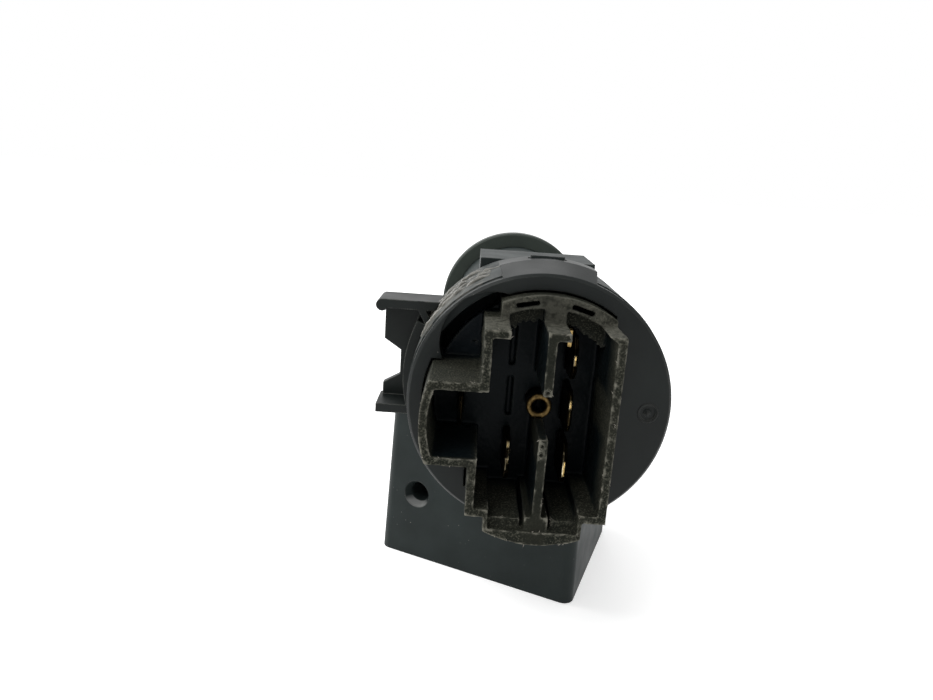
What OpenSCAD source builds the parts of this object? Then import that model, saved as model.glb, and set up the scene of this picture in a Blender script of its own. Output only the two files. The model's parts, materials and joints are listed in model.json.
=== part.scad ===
// Car ignition switch with its key lock: a plug socket at the rear, a key cylinder at the front,
// and a block below that holds the key interlock. Millimetres.
// X points right and Z up when looking along +Y, from the plug socket towards the key.
// The origin lies on the lock axis, level with the rear face of the round flange.

/* [Switch cover] */
// Outer radius of the round flange
flange_r = 20; // [19:0.1:23]
// Thickness of the flange
flange_t = 2.2; // [1.6:0.1:3]
// Wall thickness of the skirt behind the flange
skirt_wall = 2; // [1.2:0.1:2.4]
// Y where the skirt ends
skirt_end = 12; // [10:0.1:15]
// Half the angle that the latch tab spans
latch_half_angle = 20; // [14:1:30]
// Length of the latch tab
latch_len = 9; // [8:0.1:12]
// Radial thickness of the latch tab at its free end
latch_t = 1.2; // [0.8:0.1:2]
// Radius of the round recess beside the plug socket
recess_r = 7.8; // [6:0.1:8.5]

/* [Plug socket] */
// How far the socket's rim stands out of the flange
socket_h = 10.6; // [8:0.1:14]
// How far the socket's round top stands out of the flange
top_h = 3; // [2:0.1:6]
// Distance from the socket's round sides to the cup's inner wall
socket_gap = 0.8; // [0.6:0.1:1.2]
// Wall thickness of the socket
socket_wall = 1.2; // [0.8:0.1:1.6]
// Wall thickness at the socket's round top
top_wall = 1.9; // [1.5:0.1:2.4]
// Wall thickness at the middle of the socket's round bottom
arc_wall = 2.1; // [1.8:0.1:2.6]
// X of the socket's right wall
socket_right = 9.8; // [9.2:0.1:11]
// Half the height of the socket's straight part
socket_half_h = 13.6; // [13.2:0.1:14.2]
// Half the height of the arm on the left
arm_half_h = 6.1; // [4.6:0.1:7]
// Thickness of the ribs between the two columns
rib_t = 1.3; // [0.8:0.1:2]
// Y of the socket's floor
floor_y = 4; // [3:0.1:6]
// Thickness of the plate under the floor
plate_t = 2.5; // [1.8:0.1:4]

/* [Contacts] */
// Width of a blade terminal
blade_w = 6.3; // [4.8:0.1:7]
// Thickness of a blade terminal
blade_t = 0.8; // [0.5:0.1:1]
// Height of a blade above the floor
blade_h = 7; // [5:0.1:9]
// Distance from the middle to each column of blades
column_x = 4.3; // [3.8:0.1:4.8]
// Distance between the rows of blades
row_pitch = 8.2; // [7.8:0.1:8.6]
// Distance from the middle to the blade in the arm
arm_x = 11.8; // [10.8:0.1:12.6]
// Bore radius of the hollow rivet in the middle
eyelet_bore_r = 0.95; // [0.8:0.05:1.4]
// Wall thickness of the hollow rivet
eyelet_wall = 0.8; // [0.4:0.05:0.8]
// Thickness of the contact pads
pad_t = 0.9; // [0.5:0.1:1.2]
// Thickness of the contact bridges
bridge_t = 0.8; // [0.5:0.1:1]
// How far a contact bridge can be pressed back
bridge_travel = 0.5; // [0.3:0.05:0.8]

/* [Lock housing] */
// Wall thickness of the round cup
cup_wall = 2; // [1.5:0.1:3]
// Y where the cup ends and the barrel starts
cup_end = 20; // [19:0.1:22]
// Thickness of the wall between cup and barrel
partition_t = 2; // [1.5:0.1:3]
// Outer radius of the barrel
barrel_r = 15; // [13.5:0.1:16]
// Y of the barrel's front end
barrel_end = 86; // [84:0.1:96]
// Half the width of the square boss on top
boss_half_w = 10; // [8:0.1:12]
// Height of the square boss above the lock axis
boss_top = 19.1; // [17:0.1:21]
// Y where the square boss starts
boss_y = 22; // [20:0.1:26]
// Length of the square boss
boss_len = 14; // [8:0.1:20]

/* [Block] */
// Angle between the block and the barrel
block_yaw = 24.5; // [15:0.5:30]
// Length of the block's left face
block_w = 39.4; // [37:0.1:44]
// Length of the block's right face
block_d = 31.6; // [30:0.1:38]
// How much the block's right face leans in towards the back
block_taper = 1.9; // [0:0.1:4]
// Depth of the block's foot below the lock axis
foot_depth = 40; // [38:0.1:46]
// Draft angle of the block's sides
block_draft = 1.6; // [1:0.1:3]
// Radius of the block's upright edges
block_edge_r = 2; // [1:0.1:2.5]
// Wall thickness of the block
block_wall = 2.2; // [2:0.1:3]
// Thickness of the cover under the block
cover_t = 2.5; // [2:0.1:3.5]
// Radius of the fixing hole in the left face
fix_r = 1.9; // [1.5:0.1:2.2]
// Radius of the fixing hole's countersunk mouth
sink_r = 2.6; // [2.4:0.1:3]
// Depth of the fixing hole
fix_len = 8; // [5:0.1:10]

/* [Key lock] */
// Radius of the lock plug
plug_r = 9; // [8.8:0.1:9.4]
// Radius of the plug's head
head_r = 9.7; // [9.6:0.1:11]
// Width of the key slot
key_t = 2.4; // [2:0.1:2.6]
// Height of the key slot
key_h = 9.2; // [8:0.1:9.6]
// Distance between wafers
wafer_pitch = 4; // [3:0.1:4]
// Radius of the drive shaft
shaft_r = 5; // [4.4:0.1:5.4]
// Outer radius of the front bezel
bezel_r = 18.5; // [17:0.1:22]
// Length of the front bezel
bezel_len = 5; // [4:0.1:8]

/* [Interlock] */
// Radius of the interlock pin
pin_r = 1.5; // [1:0.1:1.8]
// How far the interlock pin rises
pin_travel = 2.2; // [1:0.1:2.4]
// Y of the interlock pin
pin_y = 30; // [29.5:0.1:32]

/* [Fits] */
// Running clearance, radial
run_gap = 0.05; // [0.02:0.01:0.1]
// Clearance of pieces that are assembled loosely
seat_gap = 0.1; // [0.05:0.01:0.15]

/* [Hidden] */
$fn = 96;
tiny = 0.01;
over = 1;

black_coat = "#2c3030";
black_plastic = "#232626";
socket_brown = "#2b2a26";
brass = "#b08a3c";
copper = "#b0673c";
steel = "#a8aaac";
zinc = "#9a9c9c";

// Cup, skirt and socket plate, from the outside in
cup_proud = 0.2;
cup_r = flange_r + cup_proud;
cup_inner_r = cup_r - cup_wall;
skirt_r = cup_inner_r - seat_gap;
skirt_inner_r = skirt_r - skirt_wall;
ledge_w = 0.8;
plate_r = skirt_inner_r - run_gap;
socket_r = cup_inner_r - socket_gap;
plate_end = floor_y + plate_t;
edge_round = 0.4;
recess_edge = 0.3;
recess_angle = 130.2;
recess_off = flange_r - recess_edge - recess_r;
catch_proud = 0.3;
catch_side = 0.4;
latch_rise = seat_gap + latch_t + catch_proud;
latch_root = 1;
slot_w = 6;
slot_y = 6.4;
slot_len = 1.4;
window_gap = 0.35;
mark_r = 1.15;
mark_depth = 0.25;
mark_shift = 1.6;
mark_x = (socket_right + flange_r) / 2 + mark_shift;

// Socket outline, column by column
column_left = -10.2;
upper_left = -9.2;
top_left = -6.8;
bottom_left = -7.5;
bottom_right = 6.5;
socket_z = -0.1;
straight_z = 9;
rim_y = -socket_h;
top_y = -top_h;
low_wall = 0.6;
low_z = socket_z - socket_r + arc_wall;
shelf_y = -1.2;
shelf_gap = 1.1;
shelf_r = norm([column_x + blade_t / 2, row_pitch + blade_w / 2]) + shelf_gap;
rib_drop = 0.6;
rib_y = rim_y + rib_drop;
rib_inner_top = 4.6;
rib_inner_low = -1.6;
rib_block_h = 1.2;
rib_foot_half_w = 1.7;
rib_foot_h = 2;
rivet_room = 0.5;
cell_step_in = 1.6;
cell_step_h = 1.3;
cell_step_gap = 0.5;
pocket_w = 3.4;
pocket_t = 0.7;
pocket_depth = 4;
pocket_shift = 0.15;
pocket_in = top_wall / 2 + pocket_shift;
pocket_angles = [101, 73];
strip_t = 0.6;
strip_w = 2.4;
strip_gap = 0.4;
strip_x = column_x - (blade_t + strip_t) / 2 - strip_gap;
strip_in = 0.8;
strip_z = shelf_r - strip_w / 2 - strip_in;
strip_h = 7;
strip_y = floor_y - strip_h;

// Terminals, bridges and rotor
tip_y = floor_y - blade_h;
tip_bevel_y = 1.2;
tip_bevel_z = 1.4;
eyelet_r = eyelet_bore_r + eyelet_wall;
eyelet_y = -0.5;
eyelet_lip = 0.35;
pad_clear = 0.3;
pad_r = column_x - eyelet_r - eyelet_lip - pad_clear;
pad_y = plate_end + pad_t;
bridge_y = pad_y + run_gap;
bridge_end = bridge_y + bridge_t;
bridge_gap = 0.15;
rotor_y = bridge_end + bridge_travel + bridge_gap;
rotor_len = 5.1;
rotor_end = rotor_y + rotor_len;
rotor_gap = 1.3;
rotor_r = skirt_inner_r - rotor_gap;
bridge_in_r = 6.4;
bridge_out_r = 12.4;
bridge_mid_r = (bridge_in_r + bridge_out_r) / 2;
long_sweep_angle = 110;
long_angle = 125;
short_sweep_angle = 70;
short_angle = 225;
peg_r = 0.7;
peg_gap = 0.2;
peg_hole_r = peg_r + peg_gap;
peg_shift = 18;
spring_r = 1.5;
spring_wire = 0.3;
spring_gap = 0.3;
well_r = spring_r + spring_wire + spring_gap;
well_depth = 3;

// Shaft, plug and shutter, from the switch to the key
tang = 6;
tang_drop = 0.2;
shaft_y = rotor_y + tang_drop;
room_w = 0.9;
room_r = plug_r + room_w;
plug_len = 40;
plug_y = barrel_end - plug_len;
shoulder_in = 2;
shoulder_y = plug_y + shoulder_in;
clip_t = 0.8;
end_play = 0.2;
clip_y = shoulder_y - clip_t - end_play;
clip_depth = 0.8;
clip_in_r = plug_r - clip_depth;
clip_side = 0.3;
clip_out_r = room_r - clip_side;
clip_gap = 9;
tang_t = 3;
tang_len = 4;
head_y = barrel_end + end_play;
head_len = 2.2;
plug_end = head_y + head_len;
return_in = 1.1;
return_wire = 0.5;
return_clear = 1.6;
groove_gap = 0.6;
groove_r = shaft_r - pin_travel - groove_gap;
groove_half = pin_r + groove_gap;
wafer_count = 6;
wafer_t = 1;
wafer_half_w = 3;
wafer_r = plug_r - seat_gap;
wafer_in = 6.5;
wafer_y = plug_y + wafer_in;
lug_w = 1.4;
lug_gap = 0.3;
wafer_lug_x = wafer_half_w + lug_w;
wafer_spring_r = 0.38;
wafer_spring_wire = 0.11;
wafer_lug_z = 3;
wafer_lug_h = 1.2;
wafer_seat_z = -2.2;
face_t = 1;
flap_t = 0.6;
flap_side = 0.2;
flap_half_w = key_t / 2 + flap_side;
flap_over = 0.6;
flap_low = key_h / 2 + flap_over;
flap_gap = 0.4;
hinge_r = 0.5;
knuckle_r = 1;
hinge_over = 0.3;
hinge_z = key_h / 2 + knuckle_r + hinge_over;
hinge_y = plug_end - face_t - knuckle_r - flap_gap;
flap_y = hinge_y + knuckle_r - flap_t;
pocket_half_w = flap_half_w + flap_side;
pocket_y = hinge_y - (hinge_z + flap_low) - flap_gap;
hinge_reach = 3.2;
shutter_spring_gap = 0.15;
shutter_spring_x = pocket_half_w + shutter_spring_gap;
shutter_spring_len = 1;
shutter_spring_r = 0.78;
shutter_spring_wire = 0.15;

// Bezel
bezel_grip = 3;
bezel_y = barrel_end - bezel_grip;
bezel_end = bezel_y + bezel_len;
head_gap = 0.3;
bezel_hole_r = head_r + head_gap;
bezel_round = 1.2;

// Block and interlock, from the foot up
foot_z = -foot_depth;
block_top = -5;
corner_x = 9.9;
corner_y = 9.1;
corner_steps = 8;
roof_t = 2;
roof_z = -barrel_r - roof_t;
cover_z = foot_z + cover_t;
cover_lip = 1.2;
post_r = 2.6;
post_in = 4.3;
post_h = 8;
screw_r = 0.9;
screw_head_r = 2;
screw_head_h = 1.4;
screw_len = 7;
cross_half_w = 0.25;
cross_depth = 0.7;
cross_reach = 1.2;
fix_in = 7.4;
fix_x = block_w - fix_in;
fix_up = 13;
fix_z = foot_z + fix_up;
fix_wall = 2;
fix_boss_r = fix_r + fix_wall;
fix_face_y = fix_up * tan(block_draft);
sink_depth = 1.5;
sink_slope = (sink_r - fix_r) / sink_depth;
yoke_t = 1.5;
yoke_half_w = 5;
yoke_half_span = 9.2;
bobbin_flange_r = 7.2;
bobbin_flange_t = 1.2;
core_step = 1;
core_r = pin_r + core_step;
hub_wall = 0.8;
coil_r = 6.6;
pin_gap = 0.4;
pin_tip_z = -shaft_r - pin_gap;
core_low_z = cover_z + yoke_t + pin_gap;
plunger_spring_len = 6.5;
core_top_z = roof_z - yoke_t - plunger_spring_len;
plunger_spring_wire = 0.25;
plunger_spring_r = pin_r + core_step / 2;

// Bracket on the left of the cup
bracket_t = 1.5;
bracket_in = 1;
bracket_depth = 7;
bracket_end = cup_end - bracket_in;
bracket_y = bracket_end - bracket_depth;
bracket_skin = 1.6;
bracket_reach = 5.5;
bracket_left = -cup_r - bracket_reach;
bracket_top = 12.5;
bracket_low = -7;
low_reach = 0.5;
bracket_angle = 177;
bracket_sweep_angle = 44;
saddle_angle = bracket_angle - bracket_sweep_angle / 2;
saddle_top = (cup_r + bracket_skin / 2) * [cos(saddle_angle), sin(saddle_angle)];
web_t = 1.2;
web_w = 1.3;
web_out = 0.8;
web_in = 0.9;
web_low = 0.8;
web_rise = bracket_top - bracket_t + tiny - saddle_top[1];
notch_in = 2.6;
notch_root = -cup_r - notch_in;
notch_mouth = [4.6, -3.4];
notch_deep = [2.7, -1.7];
hook_r = 1;

// Cylinder about the lock axis, from y0 to y1
module rod(y0, y1, r) translate([0, y1, 0]) rotate([90, 0, 0]) cylinder(h = y1 - y0, r = r);

// Outline drawn in X and Z, made solid from y0 to y1
module slab(y0, y1) translate([0, y1, 0]) rotate([90, 0, 0]) linear_extrude(y1 - y0) children();

// Profile drawn as radius and Y, turned about the lock axis
module turned(half_angle = 180, middle = 90)
    rotate([-90, 0, 0]) rotate([0, 0, -middle - half_angle])
        rotate_extrude(angle = 2 * half_angle) children();

// Box given by its two corners
module span(low, high) translate(low) cube(high - low);

// Two-dimensional rectangle given by its sides
module field(x0, x1, z0, z1) translate([x0, z0]) square([x1 - x0, z1 - z0]);

// Slice of a ring between two radii
module ring_slice(r0, r1, middle, width) {
    reach = r1 * 1.5;
    half = width / 2;
    intersection() {
        difference() {
            circle(r1);
            circle(r0);
        }
        polygon([[0, 0], for (a = [-half, -half / 3, half / 3, half])
                         reach * [cos(middle + a), sin(middle + a)]]);
    }
}

// Round wire wound into a coil about Z, from z = 0 to z = height, wire included
module coil_wire(r, wire, height, turns, sides = 6, steps = 12) {
    rings = turns * steps;
    rise = (height - 2 * wire) / rings;
    points = [for (i = [0:rings], s = [0:sides - 1])
              let (a = 360 * i / steps, b = 360 * s / sides, q = r + wire * cos(b))
              [q * cos(a), q * sin(a), wire + rise * i + wire * sin(b)]];
    walls = [for (i = [0:rings - 1], s = [0:sides - 1])
             let (a = i * sides + s, b = i * sides + (s + 1) % sides)
             each [[a, b, b + sides], [a, b + sides, a + sides]]];
    first = [for (s = [sides - 1:-1:0]) s];
    last = [for (s = [0:sides - 1]) rings * sides + s];
    polyhedron(points, concat(walls, [first, last]), convexity = 6);
}

// The block's own frame, at its near corner and turned with its faces
module in_block() translate([corner_x, corner_y, 0]) rotate([0, 0, -block_yaw]) children();

// Corners of the block's foot inset by edge, in the block's frame, from the left one in front
function block_corners(edge) = [[edge - block_w, edge], [-edge, edge],
                                [-edge - block_taper, block_d - edge], [edge - block_w, block_d - edge]];

// Drafted block with round upright edges, inset from the outside
module block_form(inset, z0, z1, r)
    hull() for (level = [[z0, z0], [z1, z1 - tiny]]) {
        edge = inset + r + (level[0] - foot_z) * tan(block_draft);
        for (corner = block_corners(edge))
            translate([corner[0], corner[1], level[1]]) cylinder(h = tiny, r = r, $fn = 32);
    }

// Flat outline with round corners, inset from the block's foot
module foot_outline(inset, r) {
    corners = block_corners(inset + r);
    lean = atan2(block_taper, block_d - 2 * (inset + r));
    turns = [[180, 270], [270, 360 + lean], [lean, 90], [90, 180]];
    polygon([for (i = [0:3], s = [0:corner_steps])
             let (a = turns[i][0] + (turns[i][1] - turns[i][0]) * s / corner_steps)
             corners[i] + r * [cos(a), sin(a)]]);
}

// Places of the cover's screws, in the block's frame
module at_screws() for (corner = block_corners(post_in))
    translate([corner[0], corner[1], 0]) children();

// Outline of the plug socket, inset by t
module socket_outline(t)
    intersection() {
        translate([0, socket_z]) circle(socket_r - t);
        union() {
            field(column_left + t, socket_right - t, t - socket_half_h, arm_half_h - t);
            field(upper_left + t, socket_right - t, -arm_half_h, socket_half_h - t);
            field(top_left + t, socket_right - t, 0, socket_r * 2);
            field(bottom_left + t, bottom_right - t, -socket_r * 2, 0);
            field(-socket_r * 2, 0, t + socket_z - arm_half_h, socket_z + arm_half_h - t);
        }
    }

// Hollow of the plug socket, with a thick wall at its round top and a flat floor over its round bottom
module socket_hollow() {
    intersection() {
        socket_outline(socket_wall);
        field(-socket_r, socket_r, -socket_half_h, straight_z);
    }
    intersection() {
        socket_outline(socket_wall);
        translate([0, socket_z]) circle(socket_r - top_wall);
        field(-socket_r, socket_r, 0, socket_r);
    }
    field(bottom_left + low_wall, bottom_right - low_wall, low_z, -straight_z);
}

// Walls of the plug socket
module socket_walls()
    difference() {
        slab(rim_y, floor_y + tiny) socket_outline(0);
        slab(rim_y - over, floor_y) socket_hollow();
    }

// Ribs between the two columns, with room for the rivet
module socket_ribs()
    difference() {
        slab(rib_y, floor_y + tiny) intersection() {
            socket_outline(socket_wall / 2);
            union() {
                field(-rib_t / 2, rib_t / 2, rib_inner_top, socket_r);
                field(-rib_t / 2, rib_t / 2, -socket_r, rib_inner_low);
                field(0, strip_x - strip_t / 2 - strip_gap, socket_half_h - rib_block_h, socket_r);
                field(-rib_foot_half_w, rib_foot_half_w, -socket_r, low_z + rib_foot_h);
            }
        }
        rod(eyelet_y - rivet_room, floor_y, eyelet_r + rivet_room);
    }

// Shelf under the round top, and a step in each of the two lower cells
module socket_shelves() {
    slab(shelf_y, floor_y + tiny) intersection() {
        socket_outline(socket_wall / 2);
        difference() {
            field(-socket_r, socket_r, straight_z, socket_r);
            translate([0, socket_z]) circle(shelf_r);
        }
    }
    step_in = rib_foot_half_w + cell_step_gap;
    step_top = low_z + cell_step_h;
    slab(rim_y + cell_step_in, floor_y + tiny) {
        field(bottom_left + low_wall / 2, -step_in, low_z - tiny, step_top);
        field(step_in, bottom_right - low_wall / 2, low_z - tiny, step_top);
    }
}

// Slot with running room around a blade or strip
module slot_outline(t, w) square([t + 2 * run_gap, w + 2 * run_gap], center = true);

// Places of the blades, as X and Z: right column from the top, left column's lower one, and the arm's
blade_places = [[column_x, row_pitch], [column_x, 0], [column_x, -row_pitch], [-column_x, -row_pitch],
                [-arm_x, socket_z]];
empty_places = [[-column_x, row_pitch], [-column_x, 0]];

module lock_housing() color(black_coat)
    difference() {
        union() {
            in_block() difference() {
                block_form(0, foot_z, block_top, block_edge_r);
                block_form(block_wall, cover_z - tiny, roof_z, block_edge_r);
                translate([0, 0, foot_z - over]) linear_extrude(cover_t + over)
                    foot_outline(cover_lip, block_edge_r);
            }
            in_block() {
                at_screws() translate([0, 0, cover_z]) cylinder(h = post_h, r = post_r);
                translate([-fix_x, block_wall, fix_z]) rotate([-90, 0, 0])
                    cylinder(h = fix_len - block_wall, r = fix_boss_r);
            }
            rod(flange_t + seat_gap, cup_end, cup_r);
            rod(cup_end - tiny, barrel_end, barrel_r);
            span([-boss_half_w, boss_y, 0], [boss_half_w, boss_y + boss_len, boss_top]);
            span([catch_side - slot_w / 2, slot_y + seat_gap, cup_inner_r],
                 [slot_w / 2 - catch_side, slot_y + slot_len - seat_gap, cup_r + latch_rise]);
        }
        rod(-over, cup_end - partition_t, cup_inner_r);
        rod(0, cup_end + over, shaft_r + run_gap);
        rod(cup_end, shoulder_y, room_r);
        rod(cup_end, barrel_end + over, plug_r + run_gap);
        translate([0, pin_y, roof_z - over]) cylinder(h = -roof_z, r = pin_r + run_gap);
        in_block() {
            at_screws() translate([0, 0, cover_z - over]) cylinder(h = post_h, r = screw_r + tiny);
            translate([-fix_x, -over, fix_z]) rotate([-90, 0, 0]) cylinder(h = fix_len + 2 * over, r = fix_r);
            translate([-fix_x, fix_face_y - over, fix_z]) rotate([-90, 0, 0])
                cylinder(h = over + sink_depth, r1 = sink_r + over * sink_slope, r2 = fix_r);
        }
    }

module cable_bracket() color(black_plastic)
    difference() {
        union() {
            slab(bracket_y, bracket_end) {
                ring_slice(cup_r - tiny, cup_r + bracket_skin, bracket_angle, bracket_sweep_angle);
                field(bracket_left, -cup_r / 2, bracket_top - bracket_t, bracket_top);
                field(bracket_left - low_reach, -cup_r / 2, bracket_low, bracket_low + bracket_t);
                translate([bracket_left, bracket_top - hook_r]) circle(hook_r);
            }
            slab(bracket_y, bracket_y + web_t) translate(saddle_top)
                polygon([[-web_out, web_rise], [web_w - web_out, web_rise],
                         [web_in + web_w, -web_low], [web_in, -web_low]]);
            slab(bracket_end - bracket_t, bracket_end)
                polygon([[-cup_r / 2, bracket_top - tiny], [bracket_left, bracket_top - tiny],
                         [bracket_left, notch_mouth[0]], [notch_root, notch_deep[0]],
                         [notch_root, notch_deep[1]], [bracket_left, notch_mouth[1]],
                         [bracket_left, bracket_low + tiny], [-cup_r / 2, bracket_low + tiny]]);
        }
        rod(bracket_y - over, bracket_end + over, cup_r);
    }

module block_cover() color(black_plastic)
    in_block() difference() {
        translate([0, 0, foot_z]) linear_extrude(cover_t) foot_outline(cover_lip + seat_gap, block_edge_r);
        at_screws() translate([0, 0, foot_z - tiny]) {
            cylinder(h = cover_t + over, r = screw_r + seat_gap);
            cylinder(h = screw_head_h + seat_gap + tiny, r = screw_head_r + seat_gap);
        }
    }

module cover_screws() color(steel)
    in_block() at_screws() translate([0, 0, foot_z + seat_gap]) {
        difference() {
            cylinder(h = screw_head_h, r = screw_head_r);
            for (turn = [0, 90]) rotate(turn)
                span([-cross_reach, -cross_half_w, -tiny], [cross_reach, cross_half_w, cross_depth]);
        }
        cylinder(h = screw_len, r = screw_r);
    }

module flange_cap() color(black_plastic)
    difference() {
        union() {
            turned() polygon([[0, 0], [flange_r - edge_round, 0], [flange_r, edge_round],
                              [flange_r, flange_t], [0, flange_t]]);
            rod(flange_t - tiny, skirt_end, skirt_r);
            turned(latch_half_angle) polygon([[flange_r - latch_root, edge_round], [flange_r, edge_round],
                [cup_r + seat_gap + latch_t, latch_len / 2],
                [cup_r + seat_gap + latch_t, latch_len], [cup_r + seat_gap, latch_len],
                [cup_r + seat_gap, flange_t - tiny], [flange_r - latch_root, flange_t - tiny]]);
        }
        rod(flange_t, floor_y, skirt_inner_r - ledge_w);
        rod(floor_y, skirt_end + over, skirt_inner_r);
        slab(-over, plate_end + seat_gap) socket_outline(-window_gap);
        slab(-over, skirt_end + over) rotate(recess_angle) translate([recess_off, 0]) circle(recess_r);
        span([-slot_w / 2, slot_y, cup_r - over], [slot_w / 2, slot_y + slot_len, cup_r + latch_rise + over]);
        translate([mark_x, 0, 0]) difference() {
            rod(-over, mark_depth, mark_r);
            rod(-over, mark_depth + over, mark_r / 2);
        }
    }

module connector_shroud() color(socket_brown)
    difference() {
        union() {
            rod(floor_y, plate_end, plate_r);
            slab(floor_y, plate_end) socket_outline(0);
            socket_walls();
            socket_ribs();
            socket_shelves();
        }
        span([-socket_r, rim_y - over, socket_half_h], [socket_r, top_y, socket_r + over]);
        for (place = blade_places) translate([place[0], 0, place[1]])
            slab(floor_y - tiny, plate_end + over) slot_outline(blade_t, blade_w);
        for (place = empty_places) translate([place[0], 0, place[1]])
            slab(floor_y - tiny, floor_y + plate_t / 2) slot_outline(blade_t, blade_w);
        translate([strip_x, 0, strip_z])
            slab(floor_y - tiny, floor_y + plate_t / 2) slot_outline(strip_t, strip_w);
        rod(floor_y - over, plate_end + over, eyelet_r);
        for (a = pocket_angles) slab(top_y - over, top_y + pocket_depth) translate([0, socket_z]) rotate(a)
            translate([socket_r - pocket_in, 0]) square([pocket_t, pocket_w], center = true);
    }

module eyelet() color(brass)
    turned() polygon([[eyelet_bore_r, eyelet_y], [eyelet_r, eyelet_y], [eyelet_r, plate_end],
                      [eyelet_r + eyelet_lip, plate_end], [eyelet_r + eyelet_lip, pad_y - 2 * run_gap],
                      [eyelet_bore_r, pad_y - 2 * run_gap]]);

// Blade with a bevelled tip, through the plate to a round pad behind it, reach away from the blade
module terminal(place, reach = 0) color(brass) translate([place[0], 0, place[1]]) {
    half = blade_w / 2;
    translate([-blade_t / 2, 0, 0]) rotate([90, 0, 90]) linear_extrude(blade_t)
        polygon([[plate_end + tiny, -half], [tip_y + tip_bevel_y, -half], [tip_y, tip_bevel_z - half],
                 [tip_y, half - tip_bevel_z], [tip_y + tip_bevel_y, half], [plate_end + tiny, half]]);
    slab(plate_end, pad_y) {
        translate([reach, 0]) circle(pad_r);
        if (reach > 0) field(0, reach, -pad_r / 2, pad_r / 2);
    }
}

module terminal_upper() terminal(blade_places[0]);
module terminal_middle() terminal(blade_places[1], bridge_mid_r - column_x);
module terminal_lower_right() terminal(blade_places[2]);
module terminal_lower_left() terminal(blade_places[3]);
module terminal_arm() terminal(blade_places[4]);

module link_strip() color(brass)
    translate([strip_x, 0, strip_z]) slab(strip_y, floor_y + plate_t / 2)
        square([strip_t, strip_w], center = true);

module front_bezel() color(black_plastic)
    turned() polygon(concat(
        [[barrel_r + tiny, bezel_y], [bezel_r - edge_round, bezel_y], [bezel_r, bezel_y + edge_round]],
        [for (a = [0:15:90]) [bezel_r - bezel_round + bezel_round * cos(a),
                              bezel_end - bezel_round + bezel_round * sin(a)]],
        [[bezel_hole_r + edge_round, bezel_end], [bezel_hole_r, bezel_end - edge_round],
         [bezel_hole_r, barrel_end + tiny], [barrel_r + tiny, barrel_end + tiny]]));

module return_spring() color(steel)
    translate([0, cup_end + run_gap, 0]) rotate([-90, 0, 0])
        coil_wire(room_r - return_in, return_wire, pin_y - groove_half - cup_end - return_clear, 3);

// Middle of the interlock, in the block's directions
module at_interlock() translate([0, pin_y, 0]) rotate([0, 0, -block_yaw]) children();

module yoke() color(steel)
    at_interlock() difference() {
        span([-yoke_half_span, -yoke_half_w, cover_z], [yoke_half_span, yoke_half_w, roof_z]);
        span([yoke_t - yoke_half_span, -yoke_half_w - over, cover_z + yoke_t],
             [yoke_half_span - yoke_t, yoke_half_w + over, roof_z - yoke_t]);
        translate([0, 0, roof_z - yoke_t - over]) cylinder(h = yoke_t + 2 * over, r = pin_r + seat_gap);
    }

module bobbin() color(black_plastic)
    at_interlock() difference() {
        union() {
            for (z = [cover_z + yoke_t, roof_z - yoke_t - bobbin_flange_t])
                translate([0, 0, z]) cylinder(h = bobbin_flange_t, r = bobbin_flange_r);
            translate([0, 0, cover_z + yoke_t])
                cylinder(h = roof_z - cover_z - 2 * yoke_t, r = core_r + seat_gap + hub_wall);
        }
        translate([0, 0, cover_z]) cylinder(h = roof_z - cover_z, r = core_r + seat_gap);
    }

module coil() color(copper)
    at_interlock() translate([0, 0, cover_z + yoke_t + bobbin_flange_t]) difference() {
        coil_h = roof_z - cover_z - 2 * (yoke_t + bobbin_flange_t);
        cylinder(h = coil_h, r = coil_r);
        translate([0, 0, -over]) cylinder(h = coil_h + 2 * over, r = core_r + seat_gap + hub_wall);
    }

module plunger_spring() color(steel)
    at_interlock() translate([0, 0, core_top_z + tiny])
        coil_wire(plunger_spring_r, plunger_spring_wire, plunger_spring_len - 2 * tiny, 5);

module interlock_plunger() color(steel)
    at_interlock() {
        translate([0, 0, core_low_z]) cylinder(h = core_top_z - core_low_z, r = core_r);
        translate([0, 0, core_low_z]) cylinder(h = pin_tip_z - core_low_z, r = pin_r);
    }

module lock_plug() color(zinc)
    difference() {
        union() {
            rod(plug_y, plug_end, plug_r);
            rod(head_y, plug_end, head_r);
        }
        difference() {
            rod(clip_y - run_gap, clip_y + clip_t + run_gap, plug_r + over);
            rod(clip_y - over, clip_y + clip_t + over, clip_in_r - tiny);
        }
        span([-tang / 2 - run_gap, plug_y - over, -tang_t / 2 - run_gap],
             [tang / 2 + run_gap, plug_y + tang_len + run_gap, tang_t / 2 + run_gap]);
        span([-key_t / 2, plug_y + tang_len + over, -key_h / 2], [key_t / 2, plug_end + over, key_h / 2]);
        span([-pocket_half_w, pocket_y, -flap_low - flap_gap],
             [pocket_half_w, plug_end - face_t, hinge_z + knuckle_r + flap_side]);
        translate([-hinge_reach, hinge_y, hinge_z]) rotate([0, 90, 0])
            cylinder(h = 2 * hinge_reach, r = hinge_r);
        translate([0, hinge_y, hinge_z]) rotate([0, 90, 0])
            cylinder(h = shutter_spring_x + shutter_spring_len + seat_gap,
                     r = knuckle_r + shutter_spring_gap);
        for (i = [0:wafer_count - 1]) translate([0, wafer_y + i * wafer_pitch, 0]) {
            half = wafer_t / 2 + run_gap;
            span([-wafer_half_w - run_gap, -half, -plug_r], [wafer_half_w + run_gap, half, plug_r]);
            span([0, -half, wafer_seat_z],
                 [wafer_lug_x + lug_gap, half, wafer_lug_z + wafer_lug_h + lug_gap]);
        }
    }

module plug_circlip() color(steel)
    slab(clip_y, clip_y + clip_t) difference() {
        circle(clip_out_r);
        circle(clip_in_r);
        field(-clip_gap / 2, clip_gap / 2, -clip_out_r, 0);
    }

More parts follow.
